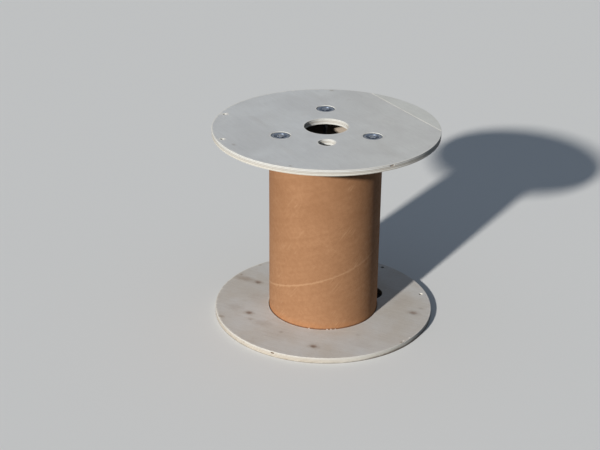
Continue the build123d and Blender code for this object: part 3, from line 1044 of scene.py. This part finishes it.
def winding_wall(radius, lead_rows, is_outside, relief):
    """One wall of the tube on a grid that follows the winding. A column is an angle, a row is a
    height above the seam's helix, and the corner's height is their sum, held between the tube's
    two ends. The last column is the first one, a whole lead of rows further on. Relief gives how
    far the wall lies inside its radius from the angle, the height and the place in the strip."""
    columns = 360
    turns = int(np.ceil((TUBE_HIGH - TUBE_LOW) / PAPER_LEAD)) + 2
    per_lead = len(lead_rows)
    angle = np.arange(columns + 1) * 2 * pi / columns
    rows = np.arange(-2 * per_lead, turns * per_lead + 1)
    turn, step = rows // per_lead, rows % per_lead
    above_helix = turn * PAPER_LEAD + lead_rows[step]
    seam_start = SEAM_HEIGHT - STRIP_SLOPE * SEAM_ANGLE
    free_height = seam_start + above_helix[None, :] + STRIP_SLOPE * angle[:, None]
    height = np.clip(free_height, TUBE_LOW, TUBE_HIGH)
    angles = np.broadcast_to(angle[:, None], height.shape)
    in_strip = (height - seam_start - STRIP_SLOPE * angles) % PAPER_LEAD
    reach = radius - relief(angles, height, in_strip)
    corners = np.stack([reach * np.cos(angles), reach * np.sin(angles), height], -1)

    # Each quad's place in the strip: along it, and across it from the strip's lower edge
    quads = grid_quads(np.arange(height.size).reshape(height.shape))
    corner_column, corner_row = np.divmod(quads, len(rows))
    own_turn = turn[corner_row[..., :1]]
    across = above_helix[corner_row] - own_turn * PAPER_LEAD
    whole_angle = angle[corner_column] + own_turn * 2 * pi
    along = whole_angle * TUBE_RADIUS / cos(WINDING_ANGLE) + across * sin(WINDING_ANGLE)
    uv = np.stack([along, across * cos(WINDING_ANGLE)], -1)
    strip_edge = to_seam(in_strip) * cos(WINDING_ANGLE)
    has_height = np.ptp(height.reshape(-1)[quads], axis=-1) > 1e-7
    quads, uv = quads[has_height], uv[has_height]
    if not is_outside:
        quads, uv = quads[:, ::-1], uv[:, ::-1]
    return corners.reshape(-1, 3), quads, uv, strip_edge.reshape(-1)


def merged(corners, faces, uv, edge, materials):
    """The same surface with equal corners made one. Quads become triangles, and those that have
    lost their area go."""
    thousandths = np.round(corners / (0.001 * MM)).astype(np.int64)
    first, renumbered = np.unique(thousandths, axis=0, return_index=True, return_inverse=True)[1:]
    renumbered = renumbered.reshape(-1)
    triangles = renumbered[faces][:, QUAD_HALVES].reshape(-1, 3)
    uv = uv[:, QUAD_HALVES].reshape(-1, 3, 2)
    materials = np.repeat(materials, 2)
    whole = ((triangles[:, 0] != triangles[:, 1]) & (triangles[:, 1] != triangles[:, 2])
             & (triangles[:, 2] != triangles[:, 0]))
    return corners[first], triangles[whole], uv[whole], edge[first], materials[whole]


def paper_tube():
    """Spiral wound tube: an outer wall with the open butt seam of its last strip of paper, an
    inner wall, and two ends of layered paper edges."""
    rng = np.random.default_rng(41)
    outer_drawn, inner_drawn = waves(rng, 6, 2, 7), waves(rng, 6, 2, 7)
    gap_half, gap_depth = 0.7 * MM, 0.14 * MM

    def lead_rows(spacing):
        """Heights above the seam within one lead: close beside the seam, even between."""
        near = np.array([0, gap_half, gap_half + 0.12 * MM, 1.2 * MM, 2.4 * MM])
        far = np.arange(near[-1] + spacing, PAPER_LEAD - near[-1] - spacing / 2, spacing)
        return np.concatenate([near, far, PAPER_LEAD - near[:0:-1]])

    def outer_relief(angle, height, in_strip):
        """Slow waves round the tube, the seam's gap with its lips a little lifted, and the soft
        ridge of the seam in the layer below."""
        aside = to_seam(in_strip)
        shut = np.clip((SHUT_SEAM_HEIGHT - height) / (SHUT_SEAM_HEIGHT - OPEN_SEAM_HEIGHT), 0.15, 1)
        gap = gap_depth * shut * (aside < gap_half + 0.02 * MM)
        lip = 0.06 * MM * np.exp(-((aside - 1.0 * MM) / (1.2 * MM)) ** 2)
        under = 0.05 * MM * np.exp(-((in_strip - 0.55 * PAPER_LEAD) / (5 * MM)) ** 2)
        slow = 0.12 * MM * (1 + ripple(angle + 4 * height, outer_drawn))
        dent = 0.05 * MM * (1 + np.cos(angle * 5 - height * 60) * np.cos(height * 40 + 1))
        return np.maximum(slow + dent + gap - lip - under, 0)

    def inner_relief(angle, height, in_strip):
        """The inner wall keeps inside the paper: slow waves and the gap of its own seam."""
        aside = to_seam(in_strip)
        gap = gap_depth * (aside < gap_half + 0.02 * MM)
        return -(0.08 * MM * (1 + ripple(angle + 3 * height, inner_drawn)) + gap)

    outer = winding_wall(TUBE_RADIUS, lead_rows(6 * MM), True, outer_relief)
    inner = winding_wall(TUBE_BORE_RADIUS, lead_rows(9 * MM), False, inner_relief)
    corners, uv, edge = (np.concatenate([outer[part], inner[part]]) for part in (0, 2, 3))
    faces = np.concatenate([outer[1], inner[1] + len(outer[0])])
    material = np.repeat([0, 1], [len(outer[1]), len(inner[1])])
    return close_tube_ends(*merged(corners, faces, uv, edge, material), rng)


def close_tube_ends(corners, triangles, uv, edge, material, rng):
    """Adds the two flat ends. Each is a grid of the wall's own end corners by layers of paper
    from the outer wall to the inner one, the layers a little uneven in height."""
    layers = 7
    middle_reach = (TUBE_RADIUS + TUBE_BORE_RADIUS) / 2
    for height, way in ((TUBE_LOW, 1), (TUBE_HIGH, -1)):
        at_end = np.nonzero(np.abs(corners[:, 2] - height) < 1e-7)[0]
        reach = np.hypot(corners[at_end, 0], corners[at_end, 1])
        angle = np.round(np.arctan2(corners[at_end, 1], corners[at_end, 0]), 5)
        outer = at_end[reach > middle_reach]
        inner = at_end[reach < middle_reach]
        outer = outer[np.argsort(angle[reach > middle_reach])]
        inner = inner[np.argsort(angle[reach < middle_reach])]
        share = np.linspace(0, 1, layers + 1)[1:-1, None, None]
        between = corners[outer] * (1 - share) + corners[inner] * share
        between[..., 2] += way * rng.uniform(0, 0.12 * MM, between.shape[:2])
        added = np.arange(between[..., 0].size).reshape(between.shape[:2])
        rows = np.concatenate([outer[None], added + len(corners), inner[None]])
        quads = grid_quads(rows.T, True).reshape(-1, 4)
        quads = quads[:, ::-1] if way > 0 else quads
        new_triangles = quads[:, QUAD_HALVES].reshape(-1, 3)
        corners = np.concatenate([corners, between.reshape(-1, 3)])
        triangles = np.concatenate([triangles, new_triangles])
        uv = np.concatenate([uv, corners[new_triangles][..., :2]])
        material = np.concatenate([material, np.ones(len(new_triangles), material.dtype)])
        edge = np.append(edge, np.full(added.size, 2 * MM))
    piece = new_piece("barrel_kraft_tube", corners, triangles, [tube_paper, inner_paper], material,
                      {"strip_edge": edge}, uv)
    return set_in_frame(piece, "kraft_tube", "barrel_tube")


def foot_burrs():
    """Torn flakes of paper that stand in the groove's gap at the tube's foot. A flake is a tongue:
    its middle line leans out from the wall by a share of its height squared, its half width falls
    as the root of one less the height's cube, and its section is a thin oval."""
    degrees, width, length, lean = np.array(FOOT_BURRS).T
    angle = radians(1) * degrees[:, None]
    width, length, lean = (row[:, None] * MM for row in (width, length, lean))
    off_wall, thickness = 0.25 * MM, 0.24 * MM
    root = TUBE_LOW + 0.4 * MM
    share = np.linspace(0, 1, 9)[None, :]
    reach = TUBE_RADIUS + off_wall + lean * share ** 2
    rise = root + (BOARD - root + length) * share
    outward = np.stack([np.cos(angle), np.sin(angle), 0 * angle], -1)
    sideways = np.stack([-np.sin(angle), np.cos(angle), 0 * angle], -1)
    line = reach[..., None] * outward
    line[..., 2] = rise
    half_width = width / 2 * np.sqrt(np.clip(1 - share ** 3, 0, 1))
    turn = even_angles(8)
    wide = (half_width[:, 1:-1, None] * np.cos(turn))[..., None] * sideways[:, :, None]
    thick = (thickness / 2 * np.sin(turn))[:, None] * outward[:, :, None]
    body = line[:, 1:-1, None] + wide - thick
    corners = np.concatenate([body.reshape(len(line), -1, 3), line[:, :1], line[:, -1:]], 1)
    rows, columns = body.shape[1:3]
    quads = grid_quads(np.arange(rows * columns).reshape(rows, columns).T, True).reshape(-1, 4)
    first = np.arange(columns)
    second = np.roll(first, -1)
    low_pole, high_pole = np.full(columns, rows * columns), np.full(columns, rows * columns + 1)
    last_row = (rows - 1) * columns
    caps = np.concatenate([np.stack([low_pole, second, first], 1),
                           np.stack([high_pole, last_row + first, last_row + second], 1)])
    starts = (np.arange(len(line)) * corners.shape[1])[:, None, None]
    faces = [(quads + starts).reshape(-1, 4), (caps + starts).reshape(-1, 3)]
    uv = np.concatenate([corners.reshape(-1, 3)[part].reshape(-1, 3) for part in faces])
    uv = np.stack([np.arctan2(uv[:, 1], uv[:, 0]) * TUBE_RADIUS, uv[:, 2]], 1)
    edge = np.full(corners[..., 0].size, 0.4 * MM)
    piece = new_piece("foot_paper_burrs", corners.reshape(-1, 3), faces, [torn_paper],
                      numbers={"strip_edge": edge}, uv=uv)
    return set_in_frame(piece, "kraft_tube")


# Steel
TURNED_COLUMNS = 96


def turned_surface(profile_reach, profile_height):
    """Closed surface of a profile carried round an upright axis. Reach and height are arrays of
    columns by rows, the last row joins the first, and the last column joins the first."""
    angle = even_angles(len(profile_reach))[:, None]
    corners = np.stack([profile_reach * np.cos(angle), profile_reach * np.sin(angle),
                        profile_height], -1)
    numbers = np.arange(profile_reach.size).reshape(profile_reach.shape)
    numbers = np.concatenate([numbers, numbers[:, :1]], 1)
    return corners.reshape(-1, 3), grid_quads(numbers, True).reshape(-1, 4)


def steel_piece(name, node, corners, faces, corner_distance, material, sharp_angle=30):
    """A turned surface set at the middle and the lower end of its CAD node, in a steel finish."""
    corners = corners + np.array([*middle(node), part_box(node)[0].z])
    piece = new_piece(name, corners, faces, [material], None, {"corner_distance": corner_distance},
                      sharp_angle=sharp_angle)
    return set_in_frame(piece, "zinc_steel", node)


def bent_line(corners, bend, steps):
    """Points along a line through corners whose bends are arcs of one radius, with the line's
    unit normals to its left."""
    corners = np.array(corners)
    ways = np.diff(corners, axis=0)
    headings = np.arctan2(ways[:, 1], ways[:, 0])
    points, angles = [corners[0]], [headings[0]]
    for corner, before, after in zip(corners[1:-1], headings[:-1], headings[1:]):
        turn = after - before
        cut = bend * tan(abs(turn) / 2)
        start = corner - cut * np.array([cos(before), sin(before)])
        side = 1 if turn > 0 else -1
        centre = start + side * bend * np.array([-sin(before), cos(before)])
        for share in np.linspace(0, 1, steps):
            heading = before + share * turn
            points.append(centre - side * bend * np.array([-sin(heading), cos(heading)]))
            angles.append(heading)
    points.append(corners[-1])
    angles.append(headings[-1])
    angles = np.array(angles)
    return np.array(points), np.stack([-np.sin(angles), np.cos(angles)], 1)


def cup_washer(node, rng):
    """Pressed cup washer: a floor round the rod, a wall that leans out and a flat rim. Its section
    is a bent line thickened to both sides, with rounded edges, carried round the axis."""
    low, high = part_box(node)
    half = CUP_SHEET / 2
    cup_height = high.z - low.z
    bend, edge = 1.3 * MM, 0.3 * MM
    angle = even_angles(TURNED_COLUMNS)
    lean = (CUP_MOUTH_RADIUS - CUP_FLOOR_RADIUS) / (cup_height - CUP_SHEET)
    middle_shift = half * (hypot(1, lean) - lean)
    line = [(CUP_BORE_RADIUS, half), (CUP_FLOOR_RADIUS - middle_shift, half),
            (CUP_MOUTH_RADIUS - middle_shift, cup_height - half),
            (CUP_RIM_RADIUS, cup_height - half)]
    points, normals = bent_line(line, bend, 5)
    inset = np.array([[edge, 0]])
    points = np.concatenate([points[:1], points[:1] + inset, points[1:-1], points[-1:] - inset,
                             points[-1:]])
    normals = np.concatenate([normals[:1], normals[:1], normals[1:-1], normals[-1:], normals[-1:]])
    reach_out = np.full((len(points), 1), half)
    reach_out[[0, -1]] = half - edge
    section = np.concatenate([points - normals * reach_out, (points + normals * reach_out)[::-1]])
    reach, height = section.T
    at_rim = np.clip((reach - CUP_MOUTH_RADIUS) / (CUP_RIM_RADIUS - CUP_MOUTH_RADIUS), 0, 1)
    uneven = 0.06 * MM * (1 + ripple(angle, waves(rng, 6, 3, 24)))
    sag = 0.07 * MM * (1 + ripple(angle, waves(rng, 3, 1, 3)))
    profile_reach = reach[None, :] - uneven[:, None] * at_rim ** 2
    profile_height = height[None, :] - sag[:, None] * at_rim
    opens_down = node.startswith("washer_bottom")
    if opens_down:
        profile_height = cup_height - profile_height
    corners, quads = turned_surface(profile_reach, profile_height)
    quads = quads[:, ::-1] if opens_down else quads
    corner_distance = np.minimum(np.abs(reach - CUP_RIM_RADIUS), np.abs(reach - CUP_BORE_RADIUS))
    return steel_piece(node + "_cup", node, corners, quads, np.tile(corner_distance, len(angle)),
                       stamped_zinc)


def hexagon_nut(node, turn):
    """Thin nut: the reach of its side is half the width across flats over the cosine of the angle
    from the nearest flat, no more than the turned-down corner, and both faces drop by the tangent
    of thirty degrees beyond the face circle."""
    low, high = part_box(node)
    height = high.z - low.z
    turned_corner, face_circle, face_middle = 7.32 * MM, 6.15 * MM, 5.4 * MM
    mouth, soft = NUT_BORE_RADIUS + 0.35 * MM, 0.08 * MM
    countersink = mouth - NUT_BORE_RADIUS
    angle = even_angles(TURNED_COLUMNS)
    from_flat = (angle - turn + pi / 6) % (pi / 3) - pi / 6
    side = np.minimum(NUT_HALF_FLATS / np.cos(from_flat), turned_corner)
    side = side - 0.06 * MM * np.exp(-((np.abs(from_flat) - pi / 6) / 0.05) ** 2)
    drop = (side - face_circle) * tan(radians(30))

    # Half of the profile as reach and depth below the face, from the bore to the middle of a side
    half = [(NUT_BORE_RADIUS, countersink), (mouth, 0), (face_middle, 0), (face_circle, 0),
            (side - soft, drop - soft * 0.4), (side, drop + soft)]
    rows = [*half, (side, height / 2), *((reach, height - rise) for reach, rise in half[::-1]),
            (NUT_BORE_RADIUS, height / 2)]
    profile_reach, profile_height = (
        np.stack([np.broadcast_to(row[part], len(angle)) for row in rows], 1) for part in (0, 1))
    corners, quads = turned_surface(profile_reach, profile_height)
    near_side = np.minimum(profile_height, height - profile_height)
    from_corner = np.abs(np.abs(from_flat) - pi / 6) * NUT_HALF_FLATS
    on_side = np.minimum(np.abs(near_side - drop[:, None]), from_corner[:, None])
    row_number = np.arange(len(rows))
    is_side = (row_number >= 4) & (row_number <= 8)
    corner_distance = np.where(is_side, on_side, np.abs(profile_reach - mouth))
    return steel_piece(node + "_hexagon", node, corners, quads, corner_distance.reshape(-1),
                       stamped_zinc)


def threaded_rod(node):
    """Tie rod: its reach is the thread's depth times a blunt triangle wave of the height less the
    angle's share of a pitch near both ends, the plain shank between, and chamfered tips closed to
    the axis."""
    low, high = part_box(node)
    length = high.z - low.z
    pitch, depth, threaded, shank_inset = 1.25 * MM, 0.62 * MM, 34 * MM, 0.25 * MM
    columns, steps = 28, 8
    thread_rows = np.arange(0, threaded, pitch / steps)
    shank = np.linspace(threaded + 0.4 * MM, length - threaded - 0.4 * MM, 12)
    heights = np.concatenate([[0], thread_rows, shank, length - thread_rows[::-1], [length]])
    phase = (heights[None, :] / pitch - even_angles(columns)[:, None] / (2 * pi)) % 1
    wave = np.clip(np.abs(phase - 0.5) * 2.6 - 0.15, 0, 1)
    to_end = np.minimum(heights, length - heights)
    fading = np.clip((threaded - to_end) / (2 * pitch), 0, 1)
    shank_share = np.clip((to_end - threaded) / (1.0 * MM), 0, 1)
    reach = ROD_RADIUS - depth * (1 - wave) * fading - shank_inset * shank_share
    reach = np.minimum(reach, ROD_RADIUS - ROD_CHAMFER + to_end)
    reach[:, [0, -1]] = 0
    corners, quads = turned_surface(reach, np.broadcast_to(heights, reach.shape))

    # The first and last rows each become one corner on the axis, and their quads triangles
    count = len(heights)
    quads = quads[quads[:, 0] % count != count - 1]
    for pole in (0, count - 1):
        quads = np.where(quads % count == pole, pole, quads)
    at_low = quads[:, 0] == quads[:, 1]
    at_high = quads[:, 2] == quads[:, 3]
    caps = np.concatenate([quads[at_low][:, [0, 2, 3]], quads[at_high][:, [0, 1, 2]]])
    quads = quads[~(at_low | at_high)]
    kept, renumbered = np.unique(np.concatenate([quads.reshape(-1), caps.reshape(-1)]),
                                 return_inverse=True)
    faces = [renumbered[:quads.size].reshape(-1, 4), renumbered[quads.size:].reshape(-1, 3)]
    corner_distance = np.abs(ROD_RADIUS - reach).reshape(-1)[kept]
    return steel_piece(node + "_bar", node, corners[kept], faces, corner_distance, turned_zinc, 60)


# The drum's pieces
UPPER_PLY_GAPS = [(-56.5, 8, 1, 1.2), (20, 6, 1, 1.4), (118, 7, 2, 2.0), (161, 4, 3, 1.2)]
LOWER_PLY_GAPS = [(-114.8, 6, 3, 2.4), (-107.3, 9, 1, 0.85), (-133, 4, 3, 0.9), (-43.4, 4, 4, 1.4),
                  (34, 7, 1, 1.6), (96, 4, 2, 1.2), (150, 6, 3, 2.0)]
plywood_flange("top_flange_board", "top_flange", "top", [upper_veneer, upper_plies], upper_knots,
               UPPER_PLY_GAPS, True, 7)
plywood_flange("bottom_flange_board", "bottom_flange", "bottom", [lower_veneer, lower_plies],
               lower_knots, LOWER_PLY_GAPS, False, 11)
paper_tube()
foot_burrs()
steel_rng = np.random.default_rng(23)
for number in ROD_NUMBERS:
    threaded_rod(f"tie_rod_{number}")
    for side, nut_turn in (("top", 20), ("bottom", 35)):
        cup_washer(f"washer_{side}_{number}", steel_rng)
        hexagon_nut(f"nut_{side}_{number}", radians(nut_turn * number + 30))


# Floor, light and camera
def pale_floor():
    """A wide round floor in a plain pale grey that melts into the backdrop far from the drum. Under
    the drum it is a painted shade, so that the holes through the lower board look into the dark."""
    steps, reach = 64, 9.0
    corners = np.column_stack([ring(reach, steps), np.zeros(steps)])
    mesh = bpy.data.meshes.new("floor")
    mesh.from_pydata(corners.tolist(), [], [list(range(steps))])
    material, wires, shader, place = new_material("pale_floor")[:4]
    lit_ground, pale_ground, painted_under_shade = srgb(102, 107, 114), srgb(220, 219, 216), srgb(52, 52, 54)
    # Painted shade: the floor is dark under the drum
    under_drum = wires.fade(wires.from_axis(place), FLANGE_RADIUS - 2 * MM, FLANGE_RADIUS - 12 * MM)
    colour = wires.blend(seen_directly(wires), lit_ground, pale_ground)
    wires.feed(shader.inputs["Base Color"], wires.blend(under_drum, colour, painted_under_shade))
    shader.inputs["Roughness"].default_value = 0.95
    shader.inputs["Specular IOR Level"].default_value = 0.05
    mesh.materials.append(material)
    floor = new_object("floor", mesh)


def studio_light():
    """One broad low lamp from the front left, and a pale even backdrop that fills the shade."""
    towards = Vector((-0.473, -0.800, 0.372))
    lamp = bpy.data.lights.new("key", "SUN")
    lamp.energy = 5.0
    lamp.angle = radians(2.5)
    lamp.color = (0.99, 0.972, 0.94)
    key = new_object("key", lamp)
    key.rotation_mode = "QUATERNION"
    key.rotation_quaternion = towards.to_track_quat("Z", "Y")
    key.location = towards * 3
    world = bpy.data.worlds.new("backdrop")
    world.use_nodes = True
    wires = Wiring(world.node_tree)
    sky_blue, pale_grey = (0.63, 0.78, 1.0, 1), (0.53, 0.535, 0.535, 1)
    sky_below, sky_above = 0.046, 0.31
    way_up = wires.part(wires.node("TexCoord", {}).outputs["Generated"], "Z")
    strength = wires.node("MapRange", {"Value": way_up, "To Min": sky_below, "To Max": sky_above})
    fill = wires.node("Background", {"Color": sky_blue, "Strength": strength.outputs[0]})
    backdrop = wires.node("Background", {"Color": pale_grey, "Strength": 1.0})
    light = wires.node("MixShader", {0: seen_directly(wires), 1: fill.outputs[0],
                                     2: backdrop.outputs[0]})
    wires.feed(world.node_tree.nodes["World Output"].inputs["Surface"], light.outputs[0])
    bpy.context.scene.world = world


def photo_camera():
    """Camera at the photograph's viewing angle, aimed at a point and rolled a little."""
    place, aim = Vector((0.0295, -2.0231, 1.1168)), Vector((-0.0431, -0.0321, 0.1838))
    roll = 0.0097
    lens = bpy.data.cameras.new("photo_view")
    lens.sensor_width = 36
    lens.lens = 74.1
    camera = new_object("photo_view", lens)
    turn = (aim - place).to_track_quat("-Z", "Y").to_matrix() @ Matrix.Rotation(roll, 3, "Z")
    camera.matrix_world = Matrix.Translation(place) @ turn.to_4x4()
    bpy.context.scene.camera = camera


pale_floor()
studio_light()
photo_camera()
bpy.context.scene.view_settings.view_transform = "Standard"
